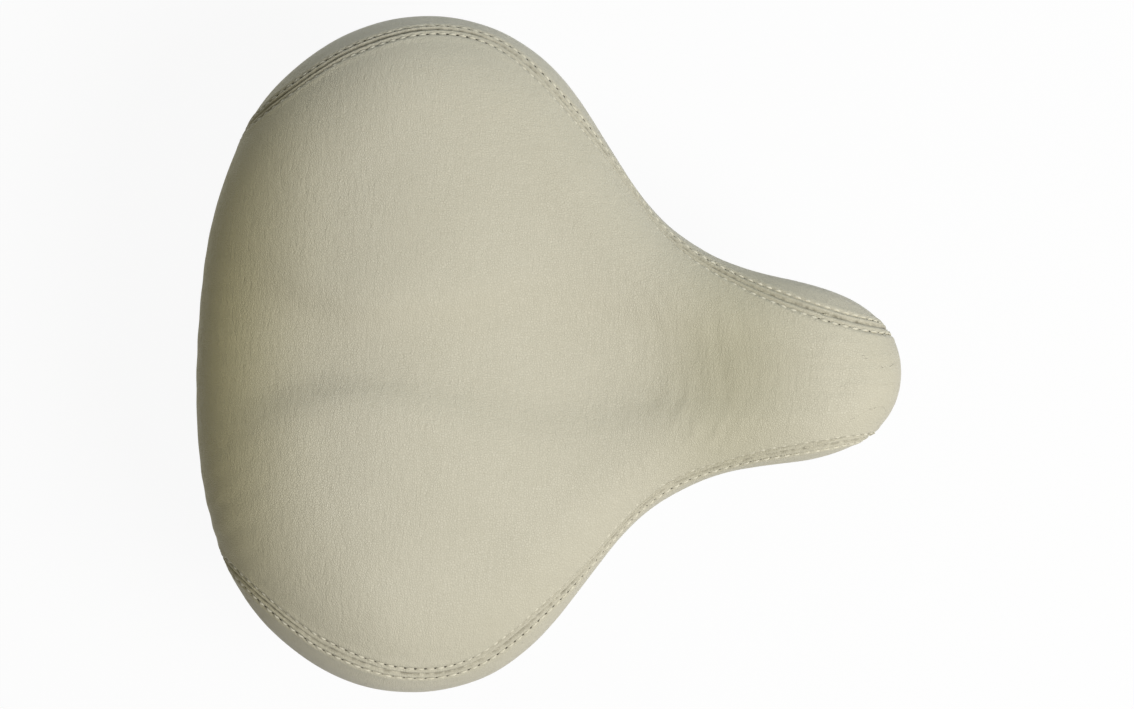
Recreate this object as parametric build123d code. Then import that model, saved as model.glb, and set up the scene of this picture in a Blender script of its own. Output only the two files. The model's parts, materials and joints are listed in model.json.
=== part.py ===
from build123d import *
import math
import os
import numpy as np

# Wide sprung comfort saddle. Millimetres, +X to the nose, +Y to the rider's left, +Z up.
# The origin is the centre of the bore that grips the seat post.

# ---- overall sizes ----
length = 270.0
width = 259.2
post_to_rear = 144.0
rear_x = -post_to_rear
nose_x = rear_x + length

# ---- plan shape, as (share of the length from the rear, share of the half width) ----
outline_shape = [
    (0, 0), (0.025, 0.463), (0.081, 0.729), (0.185, 0.924), (0.326, 1.0), (0.452, 0.920), (0.556, 0.687),
    (0.652, 0.431), (0.763, 0.304), (0.874, 0.256), (0.948, 0.193), (0.989, 0.100), (1.0, 0),
]
seam_shape = [
    (-0.040, 0.480), (0.054, 0.629), (0.096, 0.702), (0.215, 0.872), (0.320, 0.939), (0.422, 0.895),
    (0.541, 0.671), (0.659, 0.382), (0.778, 0.255), (0.896, 0.187), (0.967, 0.157), (1.040, 0.130),
]

# ---- cushion, as (share of the length from the rear, value) ----
crown_height = [(0, 112.0), (0.26, 118.0), (0.633, 101.0), (0.874, 105.0), (1.0, 101.0)]
channel_depth = [(0, 3.0), (0.15, 4.5), (0.62, 4.5), (0.83, 0.0), (1.0, 0.0)]
channel_half_width = [(0, 24.0), (0.24, 13.0), (0.51, 24.0), (0.72, 15.0), (1.0, 15.0)]
side_fall = [(0, 5.0), (0.3, 7.0), (0.65, 5.0), (1.0, 4.0)]
edge_round = [(0, 46.0), (0.3, 40.0), (0.65, 27.0), (0.88, 22.0), (1.0, 19.0)]
edge_drop = [(0, 33.0), (0.3, 30.0), (0.65, 22.0), (0.88, 20.0), (1.0, 19.0)]
edge_squareness = 2.3
skirt_tuck = 7.0
skirt_foot = 40.0
skirt_share = 0.9

# ---- cover, foam and base ----
cover_thickness = 1.2
soft_gap = 0.3
seam_gap = 0.3
hem_width = 14.0
shell_thickness = 4.0
shell_bottom = [(0, 67.0), (0.16, 62.0), (0.58, 55.5), (0.87, 59.5), (1.0, 60.0)]
rib_depth = 6.0
rib_width = 3.0
rib_y = 13.0
staple_size = (10.0, 1.2, 0.8)
staple_spacing = 26.0
staple_lift = 0.35
hem_reach = 80.0

# ---- rail wire and springs ----
wire_radius = 3.5
rail_y = 22.0
rail_z = 12.0
pivot_to_nose = 36.0
pivot_z = 50.0
loop_radius = 12.0
eye_radius = 10.0
eye_flange = 0.3
eye_z = -6.0
eye_joint = 3.0
eye_heading = Vector(10, -16, 0).normalized()
bend_to_cup = 6.0
straight_back = 49.0
straight_ahead = 45.0
rail_bends = (15.0, 12.0, 20.0)
spring_to_rear = 44.0
spring_y = 62.0
spring_radius = 17.0
spring_wire = 2.5
spring_turns = 5.5
cup_plate = 1.5
cup_lip = 6.0
cup_room = 2.0

# ---- steel under the base ----
crossbar_thickness = 2.5
crossbar_depth = 30.0
corner_share = 0.6
boss_height = 5.5
boss_radius = 9.0
screw_to_cup = 8.5
flange_depth = 5.0
bracket_side_gap = 1.0
bracket_length = 36.0
bracket_plate = 2.5
bracket_wall = 2.5
bracket_web = 8.0
pad_height = 2.0
rivet_inset = 5.0
plate_corner_share = 0.8
rivet_radius = 2.4
rivet_head_radius = 4.32
rivet_head_height = 2.0
rivet_head_round = 1.2

# ---- post clamp ----
post_radius = 11.15
band_wall = 3.0
band_height = 26.0
bolt_back = 27.0
bolt_radius = 4.0
rod_half_length = 40.0
ear_gap = 6.0
ear_radius = 11.0
disc_radius = 13.0
disc_end = 15.5
jaw_half_length = 19.0
jaw_gap = 1.2
jaw_thickness = 6.0
jaw_cover = 5.0
jaw_lip = 2.0
jaw_corner = 4.0
nut_across_flats = 13.0
nut_height = 6.5
washer_radius = 8.5
washer_height = 1.6

# ---- small hardware ----
small_bolt_radius = 3.0
small_head_radius = 6.0
small_head_height = 3.5
head_chamfer = 0.6
bolt_end = 2.0
small_nut_across_flats = 10.0
small_nut_height = 5.0

# ---- clearances ----
running_fit = 0.06
bolt_fit = 0.1
seat_gap = 0.05
tip_cover = 0.5

# ---- places that follow from the sizes ----
half_width = width / 2
pivot_x = nose_x - pivot_to_nose
spring_x = rear_x + spring_to_rear
cup_radius = spring_radius + spring_wire + cup_room
inner_screw_y = spring_y - cup_radius - small_head_radius - screw_to_cup
bracket_half_width = rail_y - loop_radius - bracket_side_gap
eye_half_height = wire_radius + eye_flange
bolt_x = -bolt_back
sides = {"left": 1, "right": -1}
surface_rows = 31
rear_corner = 0.20
nose_corner = 0.95
far = 200.0
outside = 20.0


def ease(place, stations):
    """Value at a share of the length, eased smoothly from one station to the next."""
    places = np.array([station[0] for station in stations])
    values = np.array([station[1] for station in stations])
    before = np.clip(np.searchsorted(places, place, side="right") - 1, 0, len(places) - 2)
    share = np.clip((place - places[before]) / (places[before + 1] - places[before]), 0, 1)
    return values[before] + (values[before + 1] - values[before]) * share * share * (3 - 2 * share)


def share_of_length(x):
    return (np.asarray(x) - rear_x) / length


def base_height(x):
    """Underside of the base shell."""
    return ease(share_of_length(x), shell_bottom)


def plan_points(shape, side=1):
    """Plan points of a half shape given in shares of the length and the half width."""
    return [(rear_x + along * length, side * across * half_width) for along, across in shape]


def outline_edge():
    left = plan_points(outline_shape)
    right = plan_points(outline_shape[-2:0:-1], -1)
    return Edge.make_spline([Vector(x, y) for x, y in left + right], periodic=True)


rim_edge = outline_edge()
rim_samples = 1200
rim = np.array([(p.X, p.Y) for p in rim_edge.positions(np.arange(rim_samples) / rim_samples)])
rim_along = np.roll(rim, -1, axis=0) - np.roll(rim, 1, axis=0)
rim_along = rim_along / np.linalg.norm(rim_along, axis=1)[:, None]
rim_inward = np.stack([rim_along[:, 1], -rim_along[:, 0]], axis=1)


def rounding_profile():
    """Unit edge rounding: distance along it, share of the inset left, share of the drop done."""
    turn = np.linspace(0, math.pi / 2, 600)
    inset = 1 - np.sin(turn) ** (2 / edge_squareness)
    drop = 1 - np.cos(turn) ** (2 / edge_squareness)
    steps = np.hypot(np.diff(inset), np.diff(drop))
    return np.concatenate([[0], np.cumsum(steps)]), inset, drop


round_run, round_inset, round_drop = rounding_profile()
round_end = round_run[-1]
skirt_end = round_end + skirt_share


def crown(x, y):
    """Height of the cushion's top before its edge is rounded."""
    along = share_of_length(x)
    channel = np.clip(1 - (y / ease(along, channel_half_width)) ** 2, 0, 1) ** 2
    fall = ease(along, side_fall) * (y / half_width) ** 2
    return ease(along, crown_height) - ease(along, channel_depth) * channel - fall


def fold_down(flat):
    """Fold flat cover points over the rim: inside it they stay on top, outside they go down the skirt."""
    nearest = np.argmin(((flat[:, None, :] - rim[None]) ** 2).sum(axis=2), axis=1)
    offset = flat - rim[nearest]
    inward = rim_inward[nearest]
    along = (offset * rim_along[nearest]).sum(axis=1)
    depth = (offset * inward).sum(axis=1)
    foot = rim[nearest] + rim_along[nearest] * along[:, None]
    place = share_of_length(foot[:, 0])
    reach = ease(place, edge_round)
    run = (reach - depth) / reach
    inset = np.where(run <= 0, depth, reach * np.interp(run, round_run, round_inset))
    down = np.clip((run - round_end) / skirt_share, 0, 1)
    inset = inset + skirt_tuck * down ** 2
    plan = foot + inward * inset[:, None]
    height = crown(plan[:, 0], plan[:, 1]) - ease(place, edge_drop) * np.interp(run, round_run, round_drop)
    height = height + (skirt_foot - height) * down
    return np.column_stack([plan, height])


def skin_point(flat, depth):
    """Points a given depth under the cover's outer surface."""
    step = 0.5
    point = fold_down(flat)
    along = fold_down(flat + [step, 0]) - fold_down(flat - [step, 0])
    across = fold_down(flat + [0, step]) - fold_down(flat - [0, step])
    normal = np.cross(along, across)
    normal = normal / np.linalg.norm(normal, axis=1)[:, None]
    return point - normal * depth


def flat_edge(turns):
    """Outer edge of the flat cover at shares of the half perimeter, counted from the rear centre."""
    index = np.round(np.mod(turns / 2, 1) * rim_samples).astype(int) % rim_samples
    reach = ease(share_of_length(rim[index, 0]), edge_round)
    return rim[index] - rim_inward[index] * (reach * (skirt_end - 1))[:, None]


def flat_grid():
    """Rows of flat cover points from the tail to the nose, filled in between four edges."""
    row = np.linspace(0, 1, surface_rows)
    left = flat_edge(rear_corner + (nose_corner - rear_corner) * row)
    right = flat_edge(-rear_corner - (nose_corner - rear_corner) * row)
    tail = flat_edge(rear_corner - 2 * rear_corner * row)
    nose = flat_edge(nose_corner + 2 * (1 - nose_corner) * row)
    u = row[:, None, None]
    v = row[None, :, None]
    sides_part = (1 - v) * left[:, None] + v * right[:, None]
    ends_part = (1 - u) * tail[None] + u * nose[None]
    corners = (1 - u) * ((1 - v) * tail[0] + v * tail[-1]) + u * ((1 - v) * nose[0] + v * nose[-1])
    return sides_part + ends_part - corners


def dome(depth):
    """Closed solid under the cover's outer surface, a given depth inside it, down to the skirt's foot."""
    points = skin_point(flat_grid().reshape(-1, 2), depth).reshape(surface_rows, surface_rows, 3)
    for border in (points[0], points[-1], points[:, 0], points[:, -1]):
        border[:, 2] = skirt_foot
    rows = [[Vector(*point) for point in line] for line in points]
    top = Face.make_surface_from_array_of_points(rows, tol=0.05, smoothing=(1, 1, 1), max_deg=5)
    bottom = Face.make_surface(top.edges())
    return Solid(Shell([top, bottom]))


def cylinder(radius, low, high, axis="Z", at=(0, 0, 0)):
    """Cylinder along one axis, from low to high on that axis."""
    turns = {"X": (0, 90, 0), "Y": (-90, 0, 0), "Z": (0, 0, 0)}
    start = {"X": (low, 0, 0), "Y": (0, low, 0), "Z": (0, 0, low)}
    body = Cylinder(radius, high - low, align=(Align.CENTER, Align.CENTER, Align.MIN))
    return Pos(*at) * Pos(*start[axis]) * Rot(*turns[axis]) * body


def box(x_range, y_range, z_range):
    size = [high - low for low, high in (x_range, y_range, z_range)]
    corner = (x_range[0], y_range[0], z_range[0])
    return Pos(*corner) * Box(*size, align=(Align.MIN, Align.MIN, Align.MIN))


def bore(radius, axis="Z", at=(0, 0, 0)):
    """Round cut that passes right through everything on its axis."""
    return cylinder(radius, -far, far, axis, at)


def nut(across_flats, low, high, hole, axis="Z", at=(0, 0, 0)):
    """Hexagon nut from low to high on one axis."""
    body = extrude(RegularPolygon(across_flats / math.sqrt(3), 6), high - low)
    turns = {"Y": (-90, 0, 0), "Z": (0, 0, 0)}
    start = {"Y": (0, low, 0), "Z": (0, 0, low)}
    body = Pos(*at) * Pos(*start[axis]) * Rot(*turns[axis]) * body
    return body - bore(hole, axis, at)


# ---- cover, foam and base shell ----

def above_base(lift, ceiling=None):
    """Everything from a lift above the base's underside, to a second lift or to the sky."""
    x_values = np.linspace(rear_x - outside, nose_x + outside, 14)
    low = Edge.make_spline([Vector(x, 0, base_height(x) + lift) for x in x_values])
    if ceiling is None:
        high = Edge.make_line(Vector(x_values[0], 0, far), Vector(x_values[-1], 0, far))
    else:
        high = Edge.make_spline([Vector(x, 0, base_height(x) + ceiling) for x in x_values])
    back = Edge.make_line(low.position_at(0), high.position_at(0))
    front = Edge.make_line(low.position_at(1), high.position_at(1))
    profile = Face(Wire([low, back, high, front]))
    return extrude(profile, half_width + outside, dir=(0, 1, 0), both=True)


def seam_prism(spread):
    """Upright prism between the two seams, widened by a spread on each side."""
    left = Edge.make_spline([Vector(x, y + spread) for x, y in plan_points(seam_shape)])
    right = Edge.make_spline([Vector(x, y - spread) for x, y in plan_points(seam_shape, -1)])
    tail = Edge.make_line(left.position_at(0), right.position_at(0))
    nose = Edge.make_line(left.position_at(1), right.position_at(1))
    return extrude(Face(Wire([left, tail, right, nose])), far, dir=(0, 0, 1))


def hem_opening():
    """Upright prism inside the folded hem."""
    points = (rim + rim_inward * hem_width)[::20]
    inner = Edge.make_spline([Vector(x, y) for x, y in points], periodic=True)
    return extrude(Face(Wire([inner])), hem_reach, dir=(0, 0, 1))


def cover_skin():
    """The whole sewn cover: top, skirt and the hem folded under the base."""
    outer = dome(0) & above_base(-soft_gap - cover_thickness)
    inner = dome(cover_thickness) & above_base(-soft_gap)
    return (outer - inner) - hem_opening()


def cover_panels():
    skin = cover_skin()
    centre = skin & seam_prism(-seam_gap / 2)
    right = (skin - seam_prism(seam_gap / 2)).solids().sort_by(Axis.Y)[0]
    left = mirror(right, about=Plane.XZ)
    return {"cover_centre_panel": centre, "cover_side_panel_left": left, "cover_side_panel_right": right}


def foam_pad():
    return dome(cover_thickness + soft_gap) & above_base(shell_thickness + soft_gap)


def crossbar_top():
    return float(base_height(spring_x)) - boss_height


def pad_bottom():
    return float(base_height(pivot_x)) - pad_height


def screw_places():
    """The four screws of the crossbar: two over the springs and two between them."""
    return [(spring_x, side * y) for side in sides.values() for y in (spring_y, inner_screw_y)]


def rivet_places():
    reach = bracket_length / 2 - rivet_inset
    return [(pivot_x - reach, 0), (pivot_x + reach, 0)]


def base_shell():
    """Moulded pan with two ribs, four screw bosses and a flat pad for the nose bracket."""
    pan = dome(cover_thickness + soft_gap) & above_base(0, shell_thickness)
    for side in sides.values():
        low_y = side * rib_y - rib_width / 2
        rib_x = (spring_x + crossbar_depth, pivot_x - bracket_length)
        rib = box(rib_x, (low_y, low_y + rib_width), (0, far))
        pan = pan + (rib & above_base(-rib_depth, 1))
    for x, y in screw_places():
        pan = pan + cylinder(boss_radius, crossbar_top(), float(base_height(x)) + 1, "Z", (x, y, 0))
    half = bracket_length / 2
    pad_y = (-bracket_half_width, bracket_half_width)
    pad = box((pivot_x - half, pivot_x + half), pad_y, (pad_bottom(), float(base_height(pivot_x)) + 1))
    pan = pan + (pad & hem_opening())
    for x, y in screw_places():
        pan = pan - bore(small_bolt_radius + bolt_fit, "Z", (x, y, 0))
    for x, y in rivet_places():
        pan = pan - bore(rivet_radius + bolt_fit, "Z", (x, y, 0))
    return pan


def cover_staples():
    """Staples through the folded hem, all round."""
    inset = (hem_width + skirt_tuck) / 2
    count = round(rim_edge.length / staple_spacing)
    staples = []
    for number in range(count):
        index = round((number + 0.5) * rim_samples / count)
        x, y = rim[index] + rim_inward[index] * inset
        ahead = rim_along[index]
        slope = float(base_height(x + 1) - base_height(x - 1)) / 2
        low = float(base_height(x)) - soft_gap - cover_thickness - staple_lift - staple_size[2] / 2
        plane = Plane((x, y, low), x_dir=(ahead[0], ahead[1], slope * ahead[0]), z_dir=(-slope, 0, 1))
        staples.append(plane * Box(*staple_size))
    return staples


# ---- steel under the base ----

def screw(x, y, seat, tip, head_down=True):
    """Screw along Z from its seat to its tip, its head below the seat or above it."""
    low, high = (seat - small_head_height, seat) if head_down else (seat, seat + small_head_height)
    head = cylinder(small_head_radius, low, high, "Z", (x, y, 0))
    shank_low, shank_high = (seat, tip) if head_down else (tip, seat)
    head = chamfer(head.edges().filter_by(GeomType.CIRCLE), head_chamfer)
    return head + cylinder(small_bolt_radius, shank_low, shank_high, "Z", (x, y, 0))


def rear_crossbar():
    high = crossbar_top() - seat_gap
    low = high - crossbar_thickness
    reach = spring_y + crossbar_depth / 2
    half = crossbar_depth / 2
    bar = box((spring_x - half, spring_x + half), (-reach, reach), (low, high))
    bar = fillet(bar.edges().filter_by(Axis.Z), half * corner_share)
    for x_side in (-1, 1):
        x = spring_x + x_side * (half - crossbar_thickness / 2) - crossbar_thickness / 2
        flange = box((x, x + crossbar_thickness), (-inner_screw_y, inner_screw_y), (low - flange_depth, high))
        bar = bar + flange
    for x, y in screw_places():
        bar = bar - bore(small_bolt_radius + bolt_fit, "Z", (x, y, 0))
    return bar


def cup(y, seat, up):
    """Spring seat: a pressed dish with its lip towards the spring."""
    wall = cup_plate
    low, high = (seat, seat + cup_lip) if up else (seat - cup_lip, seat)
    floor_cut = (low + wall, high + 1) if up else (low - 1, high - wall)
    at = (spring_x, y, 0)
    dish = cylinder(cup_radius, low, high, "Z", at) - cylinder(cup_radius - wall, *floor_cut, "Z", at)
    return dish - bore(small_bolt_radius + bolt_fit, "Z", at)


def lower_seat():
    return eye_z + eye_half_height + seat_gap


def upper_seat():
    return crossbar_top() - crossbar_thickness - 2 * seat_gap


def coil_spring(y):
    low = lower_seat() + cup_plate + seat_gap + spring_wire
    high = upper_seat() - cup_plate - seat_gap - spring_wire
    path = Helix((high - low) / spring_turns, high - low, spring_radius)
    section = Plane(path @ 0, z_dir=path % 0) * Circle(spring_wire)
    return Pos(spring_x, y, low) * sweep(section, path, is_frenet=True)


def nose_bracket():
    """Plate under the nose with a rolled eye that turns on the front of the rail wire."""
    high = pad_bottom() - seat_gap
    half = bracket_length / 2
    plate = box((pivot_x - half, pivot_x + half), (-bracket_half_width, bracket_half_width),
                (high - bracket_plate, high))
    plate = fillet(plate.edges().filter_by(Axis.Z), rivet_inset * plate_corner_share)
    at = (pivot_x, 0, pivot_z)
    roll = cylinder(wire_radius + bracket_wall, -bracket_half_width, bracket_half_width, "Y", at)
    web_x = (pivot_x - bracket_web / 2, pivot_x + bracket_web / 2)
    web = box(web_x, (-bracket_half_width, bracket_half_width), (pivot_z, high - bracket_plate / 2))
    body = plate + roll + web
    body = body - bore(wire_radius + running_fit, "Y", at)
    for x, y in rivet_places():
        body = body - bore(rivet_radius + bolt_fit, "Z", (x, y, 0))
    return body


def nose_rivets():
    seat = pad_bottom() - seat_gap - bracket_plate - seat_gap
    rivets = []
    for x, y in rivet_places():
        head = cylinder(rivet_head_radius, seat - rivet_head_height, seat, "Z", (x, y, 0))
        head = fillet(head.edges().group_by(Axis.Z)[0], rivet_head_round)
        tip = float(base_height(x)) + shell_thickness - tip_cover
        rivets.append(head + cylinder(rivet_radius, seat, tip, "Z", (x, y, 0)))
    return rivets


# ---- rail wire ----

def rail_wire():
    """One bent wire: an eye under each spring, two rails through the clamp and a loop at the nose."""
    eye = Vector(spring_x, spring_y, eye_z)
    half = [
        eye + eye_heading * (eye_radius - eye_joint),
        eye + eye_heading * (cup_radius + bend_to_cup),
        Vector(bolt_x - straight_back, rail_y, rail_z),
        Vector(bolt_x + straight_ahead, rail_y, rail_z),
        Vector(pivot_x, rail_y, pivot_z),
    ]
    mirrored = [Vector(p.X, -p.Y, p.Z) for p in reversed(half)]
    bends = [*rail_bends, loop_radius]
    path = FilletPolyline(*half, *mirrored, radius=bends + bends[::-1])
    wire = sweep(Plane(path @ 0, z_dir=path % 0) * Circle(wire_radius), path)
    for side in sides.values():
        at = (spring_x, side * spring_y, 0)
        wire = wire + cylinder(eye_radius, eye_z - eye_half_height, eye_z + eye_half_height, "Z", at)
        wire = wire - bore(small_bolt_radius + bolt_fit, "Z", at)
    return wire


# ---- post clamp ----

def clamp_band():
    """Split band round the post with two ears for the clamp bolt."""
    half = band_height / 2
    outer = post_radius + band_wall
    ring = cylinder(outer, -half, half)
    low_y = ear_gap / 2
    ears = box((bolt_x, -post_radius), (-low_y - band_wall, low_y + band_wall), (-ear_radius, ear_radius))
    ears = ears + cylinder(ear_radius, -low_y - band_wall, low_y + band_wall, "Y", (bolt_x, 0, 0))
    band = ring + ears
    band = band - box((bolt_x - 2 * ear_radius, 0), (-low_y, low_y), (-half - 1, half + 1))
    band = band - cylinder(post_radius, -half - 1, half + 1)
    return band - bore(bolt_radius + bolt_fit, "Y", (bolt_x, 0, 0))


def jaw_plate(inner_y, outer_y):
    """Plate with a round foot about the bolt and a long top that grips the rail."""
    top = rail_z + wire_radius + jaw_lip
    low_z = rail_z - wire_radius - jaw_cover
    head = box((bolt_x - jaw_half_length, bolt_x + jaw_half_length), (inner_y, outer_y), (low_z, top))
    head = fillet(head.edges().filter_by(Axis.Y), jaw_corner)
    foot = cylinder(disc_radius, inner_y, outer_y, "Y", (bolt_x, 0, 0))
    return head + foot


def rail_groove():
    return bore(wire_radius + running_fit, "X", (0, rail_y, rail_z))


def inner_jaw():
    start = ear_gap / 2 + band_wall + seat_gap
    body = cylinder(disc_radius, start, disc_end, "Y", (bolt_x, 0, 0))
    body = body + jaw_plate(disc_end, rail_y - jaw_gap / 2)
    return body - rail_groove() - bore(bolt_radius + bolt_fit, "Y", (bolt_x, 0, 0))


def outer_jaw_face():
    return rail_y + jaw_gap / 2 + jaw_thickness


def outer_jaw():
    body = jaw_plate(rail_y + jaw_gap / 2, outer_jaw_face())
    return body - rail_groove() - bore(bolt_radius + bolt_fit, "Y", (bolt_x, 0, 0))


def clamp_washer():
    low = outer_jaw_face() + seat_gap
    at = (bolt_x, 0, 0)
    return cylinder(washer_radius, low, low + washer_height, "Y", at) - bore(bolt_radius + bolt_fit, "Y", at)


def clamp_nut():
    low = outer_jaw_face() + washer_height + 2 * seat_gap
    return nut(nut_across_flats, low, low + nut_height, bolt_radius + seat_gap, "Y", (bolt_x, 0, 0))


def both_sides(body):
    return [body, mirror(body, about=Plane.XZ)]


def all_nodes():
    nodes = cover_panels()
    nodes["foam_pad"] = foam_pad()
    nodes["base_shell"] = base_shell()
    nodes["cover_staples"] = cover_staples()
    nodes["nose_bracket"] = nose_bracket()
    nodes["nose_rivets"] = nose_rivets()
    nodes["rear_crossbar"] = rear_crossbar()
    bar_low = crossbar_top() - seat_gap - crossbar_thickness
    screw_tip = float(base_height(spring_x)) + shell_thickness - 2 * tip_cover
    cup_floor = upper_seat() - cup_plate
    nodes["crossbar_screws"] = [screw(spring_x, side * inner_screw_y, bar_low - seat_gap, screw_tip)
                                for side in sides.values()]
    nodes["spring_top_bolts"] = [screw(spring_x, side * spring_y, cup_floor - seat_gap, screw_tip)
                                 for side in sides.values()]
    bottom_bolt_seat = lower_seat() + cup_plate + seat_gap
    nut_top = eye_z - eye_half_height - seat_gap
    bolt_tip = nut_top - small_nut_height - bolt_end
    nodes["spring_bottom_bolts"] = [screw(spring_x, side * spring_y, bottom_bolt_seat, bolt_tip, False)
                                    for side in sides.values()]
    nodes["spring_bottom_nuts"] = [
        nut(small_nut_across_flats, nut_top - small_nut_height, nut_top, small_bolt_radius + seat_gap, "Z",
            (spring_x, side * spring_y, 0)) for side in sides.values()]
    for name, side in sides.items():
        nodes["spring_seat_top_" + name] = cup(side * spring_y, upper_seat(), False)
        nodes["spring_seat_bottom_" + name] = cup(side * spring_y, lower_seat(), True)
        nodes["coil_spring_" + name] = coil_spring(side * spring_y)
    nodes["rail_wire"] = rail_wire()
    nodes["inner_rail_jaw_left"], nodes["inner_rail_jaw_right"] = both_sides(inner_jaw())
    nodes["outer_rail_jaw_left"], nodes["outer_rail_jaw_right"] = both_sides(outer_jaw())
    nodes["post_clamp_band"] = clamp_band()
    nodes["clamp_bolt"] = cylinder(bolt_radius, -rod_half_length, rod_half_length, "Y", (bolt_x, 0, 0))
    nodes["clamp_washers"] = both_sides(clamp_washer())
    nodes["clamp_nuts"] = both_sides(clamp_nut())
    return nodes


def solids_of(shape):
    if isinstance(shape, list):
        return [solid for one in shape for solid in one.solids()]
    return list(shape.solids())


os.makedirs("parts", exist_ok=True)
for name, shape in all_nodes().items():
    pieces = solids_of(shape)
    export_step(pieces[0] if len(pieces) == 1 else Compound(children=pieces), f"parts/{name}.step")
    print(name, len(pieces), round(sum(piece.volume for piece in pieces), 1))
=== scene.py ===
# %% [markdown]
# # Dressing a wide sprung bicycle saddle
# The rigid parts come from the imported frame. This lesson sews the cover, winds the springs and gives
# every part its finish. Parts are sized in millimetres until a mesh is made. Finishes, lamps and the
# camera are sized in metres. +X points to the nose.

# %% Load the frame
import json
import math

import bmesh
import bpy
import numpy as np
from mathutils import Matrix, Vector, noise


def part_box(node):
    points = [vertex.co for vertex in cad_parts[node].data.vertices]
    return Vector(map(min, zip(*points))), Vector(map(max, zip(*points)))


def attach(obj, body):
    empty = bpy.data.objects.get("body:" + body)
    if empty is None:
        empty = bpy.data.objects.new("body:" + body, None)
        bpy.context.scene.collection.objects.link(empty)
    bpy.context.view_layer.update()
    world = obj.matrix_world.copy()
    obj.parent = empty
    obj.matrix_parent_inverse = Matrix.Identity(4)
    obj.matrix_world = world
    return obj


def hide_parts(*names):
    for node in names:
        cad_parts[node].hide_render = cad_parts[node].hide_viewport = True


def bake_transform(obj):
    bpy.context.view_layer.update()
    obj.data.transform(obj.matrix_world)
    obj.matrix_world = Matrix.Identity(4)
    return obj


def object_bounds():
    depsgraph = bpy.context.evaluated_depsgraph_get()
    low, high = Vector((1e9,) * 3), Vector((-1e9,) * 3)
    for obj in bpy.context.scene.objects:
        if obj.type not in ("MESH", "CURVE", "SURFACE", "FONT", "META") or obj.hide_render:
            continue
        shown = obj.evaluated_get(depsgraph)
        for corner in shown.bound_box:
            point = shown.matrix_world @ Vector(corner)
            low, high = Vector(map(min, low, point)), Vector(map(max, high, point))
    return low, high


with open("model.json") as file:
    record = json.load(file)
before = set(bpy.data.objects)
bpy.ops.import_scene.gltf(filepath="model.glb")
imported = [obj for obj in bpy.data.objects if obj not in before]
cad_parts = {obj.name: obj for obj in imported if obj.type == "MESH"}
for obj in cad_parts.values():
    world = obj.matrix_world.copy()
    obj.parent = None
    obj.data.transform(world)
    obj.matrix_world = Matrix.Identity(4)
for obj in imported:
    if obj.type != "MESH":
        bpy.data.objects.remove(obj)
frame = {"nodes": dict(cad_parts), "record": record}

MM = 0.001
cad_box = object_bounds()
tail_x = round(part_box("cover_centre_panel")[0].x / MM)
print("frame box", [round(c / MM, 1) for corner in cad_box for c in corner])

# %% [markdown]
# ## Small helpers for modelling
# Operators act on whatever is selected, so each step starts from an empty selection. Work is done in
# place: every finished piece keeps its object at the origin and its shape in its mesh.

# %% Selection and finishing
def select_only(piece=None):
    bpy.ops.object.select_all(action="DESELECT")
    if piece is not None:
        piece.select_set(True)
        bpy.context.view_layer.objects.active = piece


def newest(name):
    """The object that an operator has just made, with its place moved into its mesh."""
    piece = bpy.context.active_object
    piece.name = name
    select_only(piece)
    bpy.ops.object.transform_apply(location=True, rotation=True, scale=True)
    return piece


def apply_modifier(piece, kind, **settings):
    modifier = piece.modifiers.new(kind.title(), kind)
    for key, value in settings.items():
        setattr(modifier, key, value)
    select_only(piece)
    bpy.ops.object.modifier_apply(modifier=modifier.name)


def start_edit(piece):
    """Go into edit mode with the whole mesh selected."""
    select_only(piece)
    bpy.ops.object.mode_set(mode="EDIT")
    bpy.ops.mesh.select_all(action="SELECT")


def end_edit():
    bpy.ops.object.mode_set(mode="OBJECT")


def smooth(piece, angle):
    select_only(piece)
    bpy.ops.object.shade_smooth_by_angle(angle=math.radians(angle))


def finish_piece(piece, material, body):
    piece.data.materials.clear()
    piece.data.materials.append(material)
    if body:
        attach(piece, body)
    print(piece.name, len(piece.data.polygons), "faces")


# %% [markdown]
# ## Node maths written as sums
# A shader is easier to read as arithmetic. A Signal is one value inside a material, and adding or
# multiplying two of them adds the Math node. Every other node comes from one method, `node`.

# %% The Signal class
# A Mix node has a set of sockets for each kind of data. These are the numbers of its colour sockets.
MIX_SHARE = 0
MIX_FIRST = 6
MIX_SECOND = 7
MIX_RESULT = 2


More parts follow.
